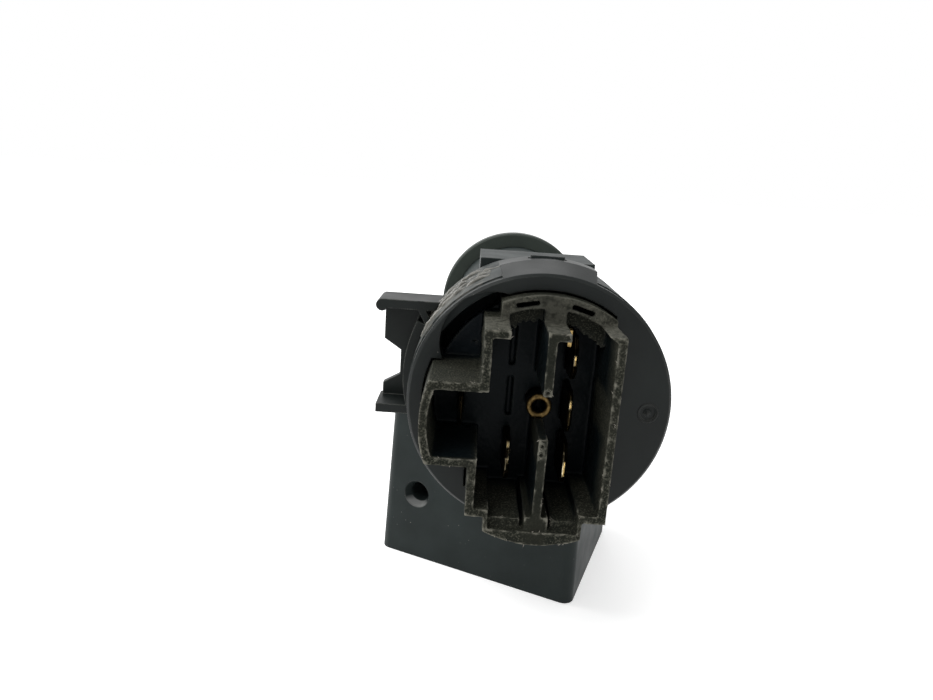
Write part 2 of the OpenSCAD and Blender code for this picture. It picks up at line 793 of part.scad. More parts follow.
// One wafer, level with the plug as the right key would hold it
module wafer(i) color(brass) translate([0, wafer_y + (i - 1) * wafer_pitch, 0])
    slab(-wafer_t / 2, wafer_t / 2) difference() {
        union() {
            intersection() {
                circle(wafer_r);
                field(-wafer_half_w, wafer_half_w, -plug_r, plug_r);
            }
            field(0, wafer_lug_x, wafer_lug_z, wafer_lug_z + wafer_lug_h);
        }
        field(-key_t / 2 - seat_gap, key_t / 2 + seat_gap, -key_h / 2, key_h / 2);
    }

module wafer_1() wafer(1);
module wafer_2() wafer(2);
module wafer_3() wafer(3);
module wafer_4() wafer(4);
module wafer_5() wafer(5);
module wafer_6() wafer(6);

module wafer_springs() color(steel)
    for (i = [0:wafer_count - 1])
        translate([wafer_half_w + lug_w / 2, wafer_y + i * wafer_pitch, wafer_seat_z + tiny])
            coil_wire(wafer_spring_r, wafer_spring_wire, wafer_lug_z - wafer_seat_z - 2 * tiny, 4, 4, 6);

module drive_shaft() color(zinc) {
    slab(shaft_y, rotor_end + tiny) square(tang, center = true);
    difference() {
        rod(rotor_end, plug_y - run_gap, shaft_r);
        difference() {
            rod(pin_y - groove_half, pin_y + groove_half, shaft_r + over);
            rod(pin_y - groove_half - over, pin_y + groove_half + over, groove_r);
        }
    }
    slab(plug_y - 2 * run_gap, plug_y + tang_len) square([tang, tang_t], center = true);
}

// Ring slice of copper that joins the pads, with holes for the rotor's pegs
module bridge(at, width) color(copper)
    slab(bridge_y, bridge_end) difference() {
        ring_slice(bridge_in_r, bridge_out_r, at, width);
        for (side = [-1, 1]) rotate(at + side * peg_shift) translate([bridge_mid_r, 0]) circle(peg_hole_r);
    }

module bridge_long() bridge(long_angle, long_sweep_angle);
module bridge_short() bridge(short_angle, short_sweep_angle);

module contact_rotor() color(black_plastic)
    difference() {
        union() {
            rod(rotor_y, rotor_end, rotor_r);
            for (at = [long_angle, short_angle], side = [-1, 1]) rotate([0, -at - side * peg_shift, 0])
                translate([bridge_mid_r, 0, 0]) rod(bridge_y + peg_gap, rotor_y + tiny, peg_r);
        }
        slab(rotor_y - over, rotor_end + over) square(tang + 2 * run_gap, center = true);
        for (at = [long_angle, short_angle]) rotate([0, -at, 0]) translate([bridge_mid_r, 0, 0])
            rod(rotor_y - over, rotor_y + well_depth, well_r);
    }

// Spring in the rotor's well, behind one bridge
module bridge_spring(at) color(steel)
    rotate([0, -at, 0]) translate([bridge_mid_r, bridge_end + tiny, 0]) rotate([-90, 0, 0])
        coil_wire(spring_r, spring_wire, rotor_y + well_depth - bridge_end - 2 * tiny, 4);

module long_spring() bridge_spring(long_angle);
module short_spring() bridge_spring(short_angle);

module key_shutter() color(steel)
    difference() {
        union() {
            span([-flap_half_w, flap_y, -flap_low], [flap_half_w, flap_y + flap_t, hinge_z]);
            translate([-flap_half_w, hinge_y, hinge_z]) rotate([0, 90, 0])
                cylinder(h = 2 * flap_half_w, r = knuckle_r);
        }
        translate([-flap_half_w - over, hinge_y, hinge_z]) rotate([0, 90, 0])
            cylinder(h = 2 * flap_half_w + 2 * over, r = hinge_r + run_gap);
    }

module shutter_pin() color(steel)
    translate([-hinge_reach, hinge_y, hinge_z]) rotate([0, 90, 0]) cylinder(h = 2 * hinge_reach, r = hinge_r);

module shutter_spring() color(steel)
    translate([shutter_spring_x, hinge_y, hinge_z]) rotate([0, 90, 0])
        coil_wire(shutter_spring_r, shutter_spring_wire, shutter_spring_len, 3, 5, 10);

lock_housing();
cable_bracket();
block_cover();
cover_screws();
flange_cap();
connector_shroud();
eyelet();
terminal_upper();
terminal_middle();
terminal_lower_right();
terminal_lower_left();
terminal_arm();
link_strip();
front_bezel();
return_spring();
yoke();
bobbin();
coil();
plunger_spring();
interlock_plunger();
lock_plug();
plug_circlip();
wafer_1();
wafer_2();
wafer_3();
wafer_4();
wafer_5();
wafer_6();
wafer_springs();
drive_shaft();
contact_rotor();
bridge_long();
bridge_short();
long_spring();
short_spring();
key_shutter();
shutter_pin();
shutter_spring();
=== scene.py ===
import json
import math

import bmesh
import bpy
import numpy as np
from mathutils import Matrix, Vector, noise
from mathutils.bvhtree import BVHTree


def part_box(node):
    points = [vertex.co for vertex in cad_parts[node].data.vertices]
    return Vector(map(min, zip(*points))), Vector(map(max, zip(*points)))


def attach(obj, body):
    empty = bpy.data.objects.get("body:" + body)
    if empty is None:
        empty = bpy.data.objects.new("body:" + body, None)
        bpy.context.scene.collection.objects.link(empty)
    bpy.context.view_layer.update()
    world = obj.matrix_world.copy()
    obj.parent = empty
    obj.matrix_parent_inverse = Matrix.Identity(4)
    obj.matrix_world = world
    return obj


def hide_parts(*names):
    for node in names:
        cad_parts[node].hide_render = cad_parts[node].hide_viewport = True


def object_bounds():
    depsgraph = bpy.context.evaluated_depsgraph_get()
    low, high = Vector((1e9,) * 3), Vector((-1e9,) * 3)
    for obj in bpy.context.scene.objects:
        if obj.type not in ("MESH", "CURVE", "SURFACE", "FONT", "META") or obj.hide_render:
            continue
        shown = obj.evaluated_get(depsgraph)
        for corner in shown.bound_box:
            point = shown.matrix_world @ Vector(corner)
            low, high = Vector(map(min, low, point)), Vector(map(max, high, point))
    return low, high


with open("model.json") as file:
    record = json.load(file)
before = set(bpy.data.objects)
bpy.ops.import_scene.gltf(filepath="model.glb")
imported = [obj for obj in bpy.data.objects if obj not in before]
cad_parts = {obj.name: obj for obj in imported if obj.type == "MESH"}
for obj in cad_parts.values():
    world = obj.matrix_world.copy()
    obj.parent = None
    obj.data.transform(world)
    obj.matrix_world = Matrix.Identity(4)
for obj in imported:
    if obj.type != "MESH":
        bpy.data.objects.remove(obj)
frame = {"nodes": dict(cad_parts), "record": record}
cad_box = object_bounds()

# Lock housing: the cup, barrel, square boss and drafted block are one zinc casting with a satin black coat.
# The coat is slightly orange-peeled and thin along the edges. It is scuffed in streaks round the cup, and the
# streaks crowd its upper left as a painted highlight. The fixing hole's lower lip is painted pale bare zinc,
# kept to the lower side as painted light falling into the hole.
MM = 0.001
BEVEL_SAMPLES = 6
EDGE_COSINES = (0.985, 0.82)
MOTTLE_SIZE = 9 * MM
MOTTLE_SHADES = (0.75, 1.2)
RUB_SIZE = 1.6 * MM
SPECK_PITCH = 1.3 * MM
DUST_SIZE = 6 * MM
DUST_GREY = (0.16, 0.155, 0.14)
GLOSS_SIZE = 5 * MM
GLOSS_SPREAD = (-0.05, 0.07)
CUP_SKIN = (19.2 * MM, 19.6 * MM)
CUP_BACK = (20.3 * MM, 20.1 * MM)
HIGHLIGHT_ACROSS = (-3 * MM, -13 * MM)
HIGHLIGHT_UP = (1 * MM, 10 * MM)
STREAK_SIZE = 1.2 * MM
STREAK_STRETCH = (1, 2, 1)
HIGHLIGHT_SHARE = 0.32
SCUFF_AND_HIGHLIGHT_GREY = (0.17, 0.163, 0.140)
LIP_INSIDE = (1.92 * MM, 2.0 * MM)
LIP_OUTSIDE = (2.8 * MM, 2.5 * MM)
LIT_LIP_BELOW = (-1.0 * MM, -1.9 * MM)
LIP_ALONG = (2.57 * MM, 2.97 * MM)
LIT_LIP_ZINC = (0.20, 0.205, 0.20)


def node(tree, kind, inputs=None, **fields):
    """Adds a node, sets its fields, and fills or links its inputs by name or number."""
    made = tree.nodes.new(kind)
    for field, value in fields.items():
        setattr(made, field, value)
    for name, value in (inputs or {}).items():
        if isinstance(value, bpy.types.NodeSocket):
            tree.links.new(value, made.inputs[name])
        else:
            made.inputs[name].default_value = value
    return made


def new_finish(name):
    """A material, its node tree, its shader, and the coordinates of the piece it is on."""
    finish = bpy.data.materials.new(name)
    finish.use_nodes = True
    tree = finish.node_tree
    place = node(tree, "ShaderNodeTexCoord").outputs["Object"]
    return finish, tree, tree.nodes["Principled BSDF"], place


def cloud(tree, place, size, detail=3.0):
    """Noise with blotches of about that size, in metres."""
    noisy = node(tree, "ShaderNodeTexNoise", {"Vector": place, "Scale": 1 / size, "Detail": detail})
    return noisy.outputs["Fac"]


def between(tree, value, low, high, to_low=0.0, to_high=1.0):
    """Stretches a value from one range to another, and stops at its ends."""
    return node(tree, "ShaderNodeMapRange", {"Value": value, "From Min": low, "From Max": high,
                                             "To Min": to_low, "To Max": to_high}).outputs["Result"]


def combine(tree, operation, a, b=0.0):
    """One number from two, by an operation such as ADD or MAXIMUM."""
    return node(tree, "ShaderNodeMath", {0: a, 1: b}, operation=operation).outputs[0]


def product(tree, a, b):
    """The share of a surface where both shares hold."""
    return combine(tree, "MULTIPLY", a, b)


def vectors(tree, operation, a, b=(0, 0, 0), output="Vector"):
    """A vector, or its Value, from one or two vectors."""
    return node(tree, "ShaderNodeVectorMath", {0: a, 1: b}, operation=operation).outputs[output]


def xyz(tree, place):
    """The three coordinates of a place, by name."""
    return node(tree, "ShaderNodeSeparateXYZ", {"Vector": place}).outputs


def blend_colours(tree, share, a, b):
    """Mixes two colours by a share that varies over the surface."""
    mixed = node(tree, "ShaderNodeMix", {"Factor": share}, data_type="RGBA")
    for socket, colour in ((mixed.inputs[6], a), (mixed.inputs[7], b)):
        if isinstance(colour, bpy.types.NodeSocket):
            tree.links.new(colour, socket)
        else:
            socket.default_value = (*colour, 1.0)
    return mixed.outputs[2]


def rounded_edges(tree, radius):
    """Normals that turn gently over an edge."""
    return node(tree, "ShaderNodeBevel", {"Radius": radius}, samples=BEVEL_SAMPLES).outputs["Normal"]


def emboss(tree, shader, height, strength, depth, normal=None):
    """Raises the surface by a pattern, over normals that may be rounded already."""
    bump = node(tree, "ShaderNodeBump", {"Height": height, "Strength": strength, "Distance": depth})
    if normal:
        tree.links.new(normal, bump.inputs["Normal"])
    tree.links.new(bump.outputs["Normal"], shader.inputs["Normal"])


def satin_black(name, colour, worn, roughness, grain, depth, edge, specular=0.16):
    """Satin surface with a fine grain, dust, and edges that have been handled."""
    finish, tree, shader, place = new_finish(name)
    rounded = rounded_edges(tree, edge)
    flat = node(tree, "ShaderNodeNewGeometry").outputs["Normal"]
    edges = between(tree, vectors(tree, "DOT_PRODUCT", rounded, flat, "Value"), *EDGE_COSINES)
    mottle = between(tree, cloud(tree, place, MOTTLE_SIZE, 5.0), 0.3, 0.7)
    mottled = blend_colours(tree, mottle, *([part * shade for part in colour] for shade in MOTTLE_SHADES))
    rubbed = product(tree, edges, between(tree, cloud(tree, place, RUB_SIZE), 0.36, 0.6))
    handled = blend_colours(tree, rubbed, mottled, worn)
    specks = node(tree, "ShaderNodeTexVoronoi", {"Vector": place, "Scale": 1 / SPECK_PITCH})
    dusty = between(tree, cloud(tree, place, DUST_SIZE), 0.5, 0.62)
    dust = product(tree, between(tree, specks.outputs["Distance"], 0.09, 0.04), dusty)
    tree.links.new(blend_colours(tree, dust, handled, DUST_GREY), shader.inputs["Base Color"])
    least, most = (roughness + more for more in GLOSS_SPREAD)
    gloss = between(tree, cloud(tree, place, GLOSS_SIZE, 6.0), 0.3, 0.7, least, most)
    tree.links.new(gloss, shader.inputs["Roughness"])
    emboss(tree, shader, cloud(tree, place, grain, 2.0), 0.5, depth, rounded)
    shader.inputs["Specular IOR Level"].default_value = specular
    return finish


def dress(finish, *names):
    """Gives a finish to solids that keep their shape."""
    for name in names:
        for slot in frame["nodes"][name].material_slots:
            slot.material = finish


casting_black = satin_black("casting_black", colour=(0.0155, 0.0212, 0.0206), worn=(0.066, 0.070, 0.065),
                            roughness=0.50, grain=0.35 * MM, depth=0.014 * MM, edge=0.35 * MM)
tree = casting_black.node_tree
shader = tree.nodes["Principled BSDF"]
coat = shader.inputs["Base Color"].links[0].from_socket
place = node(tree, "ShaderNodeTexCoord").outputs["Object"]
at = xyz(tree, place)
from_axis = vectors(tree, "LENGTH", vectors(tree, "MULTIPLY", place, (1, 0, 1)), output="Value")
on_cup = product(tree, between(tree, from_axis, *CUP_SKIN), between(tree, at["Y"], *CUP_BACK))
# painted highlight: extra pale streaks on the cup's upper left, where light falls across it
upper_left_highlight = product(tree, between(tree, at["X"], *HIGHLIGHT_ACROSS), between(tree, at["Z"], *HIGHLIGHT_UP))
streaks = cloud(tree, vectors(tree, "MULTIPLY", place, STREAK_STRETCH), STREAK_SIZE, 8.0)
scuff_and_highlight_noise = combine(tree, "ADD", streaks, product(tree, upper_left_highlight, HIGHLIGHT_SHARE))
scuffs_and_highlight = product(tree, on_cup, between(tree, scuff_and_highlight_noise, 0.70, 1.10))
scuffed_and_highlit_coat = blend_colours(tree, scuffs_and_highlight, coat, SCUFF_AND_HIGHLIGHT_GREY)
fixing_hole = next(mount for mount in frame["record"]["mounts"] if mount["name"] == "fixing_hole")
to_hole = vectors(tree, "SUBTRACT", place, fixing_hole["pos_m"])
beside_hole = vectors(tree, "CROSS_PRODUCT", to_hole, fixing_hole["axis"])
from_hole = vectors(tree, "LENGTH", beside_hole, output="Value")
lip = product(tree, between(tree, from_hole, *LIP_INSIDE), between(tree, from_hole, *LIP_OUTSIDE))
along_hole = vectors(tree, "DOT_PRODUCT", to_hole, fixing_hole["axis"], "Value")
at_mouth = product(tree, lip, between(tree, along_hole, *LIP_ALONG))
# painted light: pale zinc only on the hole's lower lip, where light falls into the hole
lit_lower_lip = product(tree, at_mouth, between(tree, xyz(tree, to_hole)["Z"], *LIT_LIP_BELOW))
tree.links.new(blend_colours(tree, lit_lower_lip, scuffed_and_highlit_coat, LIT_LIP_ZINC), shader.inputs["Base Color"])
dress(casting_black, "lock_housing")

# Cast ridges: low beads round the upper left of the cup and a parting line along each side of the barrel.
# They belong to the casting. The beads' coat is painted much paler than the casting's, partly rubbed thin by
# handling and partly a painted highlight on their crests.
CUP_R = 20.2 * MM
BARREL_R = 15 * MM
BEAD_TILT = 0.12
BEAD_SINK = (-0.42 * MM, 0.06 * MM)
BEAD_SINK_SIZE = 2.4 * MM
UPRIGHT = (math.pi / 2, 0, 0)


def new_piece(name, mesh):
    """An object at the origin, with its place in its mesh."""
    piece = bpy.data.objects.new(name, mesh)
    bpy.context.scene.collection.objects.link(piece)
    return piece


def settled(piece):
    """Turns a piece and its modifiers into one plain mesh."""
    shape = piece.evaluated_get(bpy.context.evaluated_depsgraph_get())
    mesh = bpy.data.meshes.new_from_object(shape)
    piece.modifiers.clear()
    piece.data = mesh
    mesh.name = piece.name
    return piece


def realized(tree, shape):
    """Copies made real, each with a shape of its own."""
    return node(tree, "GeometryNodeRealizeInstances", {"Geometry": shape}).outputs["Geometry"]


def grown(name, build, finish, **sizes):
    """A piece made by a node tree: build fills the tree, and its sizes are the tree's named inputs."""
    sockets = ((int, "NodeSocketInt"), (float, "NodeSocketFloat"), (bpy.types.Object, "NodeSocketObject"))
    tree = bpy.data.node_groups.new(name, "GeometryNodeTree")
    identifiers = {}
    for label, value in sizes.items():
        kind = next(socket for held, socket in sockets if isinstance(value, held))
        identifiers[label] = tree.interface.new_socket(label, in_out="INPUT", socket_type=kind).identifier
    tree.interface.new_socket("Geometry", in_out="OUTPUT", socket_type="NodeSocketGeometry")
    inputs = tree.nodes.new("NodeGroupInput").outputs
    shape = build(tree, {label: inputs[label] for label in sizes})
    dressed = node(tree, "GeometryNodeSetMaterial", {"Geometry": realized(tree, shape), "Material": finish})
    node(tree, "NodeGroupOutput", {"Geometry": dressed.outputs["Geometry"]})
    piece = new_piece(name, bpy.data.meshes.new(name))
    grower = piece.modifiers.new(name, "NODES")
    grower.node_group = tree
    for label, identifier in identifiers.items():
        grower[identifier] = sizes[label]
    return settled(piece)


def vector_of(tree, **parts):
    """A vector from its X, Y or Z."""
    return node(tree, "ShaderNodeCombineXYZ", parts).outputs["Vector"]


def row_of_points(tree, count, first, step):
    """Points in a straight row."""
    row = node(tree, "GeometryNodeMeshLine", {"Count": count, "Start Location": first, "Offset": step})
    return row.outputs["Mesh"]


def circle(tree, radius, steps):
    """A round path or section."""
    ring = node(tree, "GeometryNodeCurvePrimitiveCircle", {"Radius": radius, "Resolution": steps})
    return ring.outputs["Curve"]


def moved(tree, shape, **how):
    """A shape shifted, turned or scaled, by Translation, Rotation and Scale."""
    return node(tree, "GeometryNodeTransform", {"Geometry": shape, **how}).outputs["Geometry"]


def arc_round_lock(tree, size, steps):
    """An arc about the lock axis, upright."""
    arc = node(tree, "GeometryNodeCurveArc", {"Radius": size["radius"], "Start Angle": size["start"],
                                              "Sweep Angle": size["sweep"], "Resolution": steps})
    return moved(tree, arc.outputs["Curve"], Rotation=UPRIGHT)


def swept(tree, path, section):
    """A bar of that section along a path, with closed ends."""
    return node(tree, "GeometryNodeCurveToMesh",
                {"Curve": path, "Profile Curve": section, "Fill Caps": True}).outputs["Mesh"]


def random_vector(tree, least, most, seed):
    """A vector that differs from point to point."""
    return node(tree, "FunctionNodeRandomValue", {0: least, 1: most, "Seed": seed},
                data_type="FLOAT_VECTOR").outputs[0]


def copies(tree, points, shape, **how):
    """A copy of a shape on each point, by Rotation and Scale."""
    placed = node(tree, "GeometryNodeInstanceOnPoints", {"Points": points, "Instance": shape, **how})
    return placed.outputs["Instances"]


def beads_round_cup(tree, size):
    """Beads that follow the cup, one behind the other, and sink into it here and there."""
    bead = swept(tree, arc_round_lock(tree, size, 90), circle(tree, size["bead"], 10))
    row = row_of_points(tree, size["count"], vector_of(tree, Y=size["first"]),
                        vector_of(tree, Y=size["pitch"]))
    turn = random_vector(tree, (0, -BEAD_TILT, 0), (0, BEAD_TILT, 0), size["seed"])
    beads = realized(tree, copies(tree, row, bead, Rotation=turn))
    place = node(tree, "GeometryNodeInputPosition").outputs["Position"]
    outward = vectors(tree, "NORMALIZE", vectors(tree, "MULTIPLY", place, (1, 0, 1)))
    rise = between(tree, cloud(tree, place, BEAD_SINK_SIZE), 0.36, 0.62, *BEAD_SINK)
    shift = node(tree, "ShaderNodeVectorMath", {0: outward, "Scale": rise}, operation="SCALE")
    sunk = node(tree, "GeometryNodeSetPosition", {"Geometry": beads, "Offset": shift.outputs["Vector"]})
    return sunk.outputs["Geometry"]


def lines_along_barrel(tree, size):
    """Two thin lines where the halves of the mould met."""
    line = row_of_points(tree, size["count"], vector_of(tree, Y=size["first"]),
                         vector_of(tree, Y=size["step"]))
    path = node(tree, "GeometryNodeMeshToCurve", {"Mesh": line}).outputs["Curve"]
    ridge = swept(tree, path, circle(tree, size["bead"], 6))
    width = product(tree, size["radius"], -2.0)
    sides = row_of_points(tree, 2, vector_of(tree, X=size["radius"]), vector_of(tree, X=width))
    return copies(tree, sides, ridge)


# painted highlight: the beads' pale coat stands partly for light caught on their crests
rubbed_coat = satin_black("rubbed_coat", colour=(0.100, 0.096, 0.080), worn=(0.34, 0.325, 0.28),
                          roughness=0.30, grain=0.3 * MM, depth=0.03 * MM, edge=0.2 * MM, specular=0.5)
cup_beads = grown("cup_beads", beads_round_cup, rubbed_coat, radius=CUP_R, start=math.radians(112),
                  sweep=math.radians(42), bead=0.42 * MM, count=4, first=7.2 * MM, pitch=2.9 * MM, seed=3)
barrel_lines = grown("barrel_lines", lines_along_barrel, casting_black, radius=BARREL_R, bead=0.16 * MM,
                     count=40, first=37 * MM, step=1.15 * MM)
for ridge in (cup_beads, barrel_lines):
    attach(ridge, "housing")

# Key interlock: a bent steel yoke with a nylon bobbin and its copper winding, closed up inside the block.
# A steel plunger rises in it against a coil spring.
METAL_EDGE = 0.12 * MM
WIRE_SPACING = 0.05 * MM
WIRE_CREASE_SHADE = (0.20, 0.055, 0.018)
WIRE_COPPER = (0.55, 0.20, 0.08)


def metal(name, colour, stain, roughness, patch=2 * MM, grain=0.2 * MM, depth=0.004 * MM):
    """Bare metal with stains, and a fine grain left by how it was made."""
    finish, tree, shader, place = new_finish(name)
    stained = between(tree, cloud(tree, place, patch, 6.0), 0.42, 0.62)
    tree.links.new(blend_colours(tree, stained, colour, stain), shader.inputs["Base Color"])
    tree.links.new(between(tree, stained, 0.0, 1.0, roughness, roughness + 0.2), shader.inputs["Roughness"])
    emboss(tree, shader, cloud(tree, place, grain), 0.4, depth, rounded_edges(tree, METAL_EDGE))
    shader.inputs["Metallic"].default_value = 1.0
    return finish


def grooves(tree, place, spacing, distortion, detail, **fields):
    """Even lines or rings, such as the turns of a wire or the marks of a lathe."""
    scale = 1 / (2 * math.pi * spacing)
    return node(tree, "ShaderNodeTexWave", {"Vector": place, "Scale": scale, "Distortion": distortion,
                                            "Detail": detail}, **fields).outputs["Fac"]


spring_steel = metal("spring_steel", colour=(0.42, 0.42, 0.42), stain=(0.25, 0.24, 0.22), roughness=0.28)
plated_steel = metal("plated_steel", colour=(0.50, 0.50, 0.48), stain=(0.33, 0.31, 0.26), roughness=0.34,
                     patch=4 * MM, grain=0.3 * MM, depth=0.006 * MM)
dress(plated_steel, "yoke", "interlock_plunger")
dress(spring_steel, "plunger_spring", "return_spring")

inner_nylon = satin_black("inner_nylon", colour=(0.030, 0.030, 0.028), worn=(0.08, 0.08, 0.075),
                          roughness=0.5, grain=0.4 * MM, depth=0.015 * MM, edge=0.15 * MM)
dress(inner_nylon, "bobbin")

copper_wire, tree, shader, place = new_finish("copper_wire")
turns = grooves(tree, place, WIRE_SPACING, 0.6, 1.0, bands_direction="Z")
# painted shade: the copper darkens in the creases between the turns
tree.links.new(blend_colours(tree, turns, WIRE_CREASE_SHADE, WIRE_COPPER), shader.inputs["Base Color"])
emboss(tree, shader, turns, 0.6, WIRE_SPACING)
shader.inputs["Metallic"].default_value = 1.0
shader.inputs["Roughness"].default_value = 0.32
dress(copper_wire, "coil")

# Block cover: a flat moulded plate let into the block's foot.
# Four plated screws with cross recesses hold it.
moulded_black = satin_black("moulded_black", colour=(0.0086, 0.0110, 0.0105), worn=(0.070, 0.073, 0.066),
                            roughness=0.36, grain=0.22 * MM, depth=0.009 * MM, edge=0.25 * MM)
dress(moulded_black, "block_cover")
dress(plated_steel, "cover_screws")

# Cable bracket: a moulded channel with a hook, a V-notch and a small web, fixed to the left of the cup.
# It is of black plastic, and its edges are rubbed grey.
bracket_black = satin_black("bracket_black", colour=(0.0080, 0.0104, 0.0096), worn=(0.105, 0.110, 0.098),
                            roughness=0.40, grain=0.3 * MM, depth=0.02 * MM, edge=0.32 * MM)
dress(bracket_black, "cable_bracket")

# Key lock: a die-cast plug with brass wafers on small springs, and a sprung steel flap behind the key slot.
# The plug's face is turned on a lathe, and a circlip keeps the plug in the barrel.
TOOL_SPACING = 0.06 * MM
TOOL_DEPTH = 0.008 * MM
PLUG_EDGE = 0.25 * MM
PLUG_ZINC = (0.33, 0.335, 0.335)
HANDLED_ZINC = (0.25, 0.248, 0.238)
HANDLED_SIZE = 5 * MM
WAFERS = 6
cast_zinc = metal("cast_zinc", colour=(0.36, 0.37, 0.37), stain=(0.24, 0.24, 0.23), roughness=0.36,
                  patch=3 * MM, grain=0.5 * MM, depth=0.008 * MM)
dress(cast_zinc, "drive_shaft")

turned_zinc, tree, shader, place = new_finish("turned_zinc")
rings = grooves(tree, place, TOOL_SPACING, 0.4, 2.0, wave_type="RINGS", rings_direction="Y")
handled = between(tree, cloud(tree, place, HANDLED_SIZE, 6.0), 0.35, 0.7)
tree.links.new(blend_colours(tree, handled, PLUG_ZINC, HANDLED_ZINC), shader.inputs["Base Color"])
tree.links.new(between(tree, handled, 0.0, 1.0, 0.30, 0.44), shader.inputs["Roughness"])
emboss(tree, shader, rings, 0.25, TOOL_DEPTH, rounded_edges(tree, PLUG_EDGE))
shader.inputs["Metallic"].default_value = 1.0
dress(turned_zinc, "lock_plug")

wafer_brass = metal("wafer_brass", colour=(0.52, 0.36, 0.12), stain=(0.33, 0.21, 0.07), roughness=0.3)
dress(wafer_brass, *("wafer_%d" % (count + 1) for count in range(WAFERS)))
dress(spring_steel, "wafer_springs", "plug_circlip", "shutter_spring", "shutter_pin")
shutter_steel = metal("shutter_steel", colour=(0.15, 0.15, 0.145), stain=(0.085, 0.082, 0.075), roughness=0.4)
dress(shutter_steel, "key_shutter")

# Contact rotor: a moulded disc on the shaft that carries two sprung copper bridges.
# The bridges sweep over the pads of the blades.
contact_copper = metal("contact_copper", colour=(0.55, 0.24, 0.10), stain=(0.30, 0.12, 0.06), roughness=0.3)
dress(inner_nylon, "contact_rotor")
dress(contact_copper, "bridge_long", "bridge_short")
dress(spring_steel, "long_spring", "short_spring")

# Plug socket: the T-shaped moulding that the cable's plug goes into, with a base plate for the blades.
# Its plastic is brown with age, its walls are eroded, and plugs have rubbed its rim pale.
# Its cells and depths are painted near black as shade; the plate in its recess and the top of its rim are
# painted lighter as light.
SOCKET_VOXEL = 0.15 * MM
SOCKET_TRIANGLES = 190000
SMOOTHING_PASSES = 2
WALL_WAVES = ((0.5 * MM, 0.03 * MM), (2.6 * MM, 0.06 * MM))
RIM_DEPTH = 1.0 * MM
CHIP_SIZE = 1.1 * MM
CHIP_DEPTH = 0.28 * MM
PITS = ((0.0, 5.15 * MM), (-0.1 * MM, -2.6 * MM), (-0.15 * MM, -3.9 * MM))
PIT_R = 0.42 * MM
PIT_DEPTH = 0.5 * MM
SHELF_Y = -1.5 * MM
SHELF_Z = 8.6 * MM
SHELF_R = 13.4 * MM
SHELF_TEAR = 1.1 * MM
WORN_PERCENTILES = (74, 94)
WORN_INSIDE = 0.1
FRAY_SIZE = 1.4 * MM
TOP_RIM_Y = -3 * MM
TOP_RIM_Z = 13.4 * MM
TOP_RIM_PAINTED_LIGHT = 0.30
AIR_START = 0.2 * MM
AIR_REACH = 14 * MM
AIR_PASSES = 4
rim_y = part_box("connector_shroud")[0].y


def merged_shape(cad_name):
    """A solid's mesh with its loose triangles joined, for editing."""
    shape = bmesh.new()
    shape.from_mesh(frame["nodes"][cad_name].data)
    bmesh.ops.remove_doubles(shape, verts=shape.verts, dist=0.001 * MM)
    return shape


def piece_of(name, shape):
    """A piece with the edited mesh as its own."""
    mesh = bpy.data.meshes.new(name)
    shape.to_mesh(mesh)
    shape.free()
    return new_piece(name, mesh)


def read_points(mesh):
    """Place of each point, one row each."""
    points = np.zeros(len(mesh.vertices) * 3)
    mesh.vertices.foreach_get("co", points)
    return points.reshape(-1, 3)


def write_points(mesh, points):
    """Moves each point of a mesh to its row."""
    mesh.vertices.foreach_set("co", points.ravel())
    mesh.update()


def read_normals(mesh):
    """Outward direction at each point."""
    normals = np.zeros(len(mesh.vertices) * 3)
    mesh.vertex_normals.foreach_get("vector", normals)
    return normals.reshape(-1, 3)


def read_edges(mesh):
    """The two points of each edge, by number."""
    edges = np.zeros(len(mesh.edges) * 2, int)
    mesh.edges.foreach_get("vertices", edges)
    return edges.reshape(-1, 2)


def neighbour_mean(edges, values):
    """Mean of each point's neighbours along the mesh's edges."""
    columns = values.reshape(len(values), -1)
    count = np.bincount(edges.ravel(), minlength=len(values))
    total = [np.bincount(edges[:, 0], column[edges[:, 1]], len(values)) +
             np.bincount(edges[:, 1], column[edges[:, 0]], len(values)) for column in columns.T]
    return (np.array(total) / count).T.reshape(values.shape)


def waves(points, size):
    """Smooth noise at each point, from -1 to 1."""
    return np.array([noise.noise(Vector(point)) for point in points / size])


def torn(angle):
    """How far the shelf's edge is torn in or out at that angle."""
    return noise.noise(Vector((angle * 7, 0.3, 0.7))) + 0.5 * noise.noise(Vector((angle * 23, 2.1, 0)))


def eroded(points, outward):
    """Roughens the walls, chips and pits the rim, and tears the edge of the shelf."""
    near_rim = np.clip((rim_y + RIM_DEPTH - points[:, 1]) / RIM_DEPTH, 0, 1)
    points = points + outward * sum(waves(points, size) * height for size, height in WALL_WAVES)[:, None]
    points[:, 1] += near_rim * (0.5 + 0.5 * waves(points, CHIP_SIZE)) * CHIP_DEPTH
    for x, z in PITS:
        away = np.hypot(points[:, 0] - x, points[:, 2] - z) / PIT_R
        points[:, 1] += np.clip(1 - away, 0, 1) * (near_rim > 0) * PIT_DEPTH
    from_axis = np.hypot(points[:, 0], points[:, 2])
    on_shelf = np.clip(1 - np.abs(from_axis - SHELF_R) / SHELF_TEAR, 0, 1)
    on_shelf *= (points[:, 1] > SHELF_Y) * (points[:, 2] > SHELF_Z)
    ragged = np.array([torn(angle) for angle in np.arctan2(points[:, 2], points[:, 0])])
    points[:, [0, 2]] *= (1 + on_shelf * ragged * SHELF_TEAR / SHELF_R)[:, None]
    points[:, 1] = np.maximum(points[:, 1], rim_y)
    return points


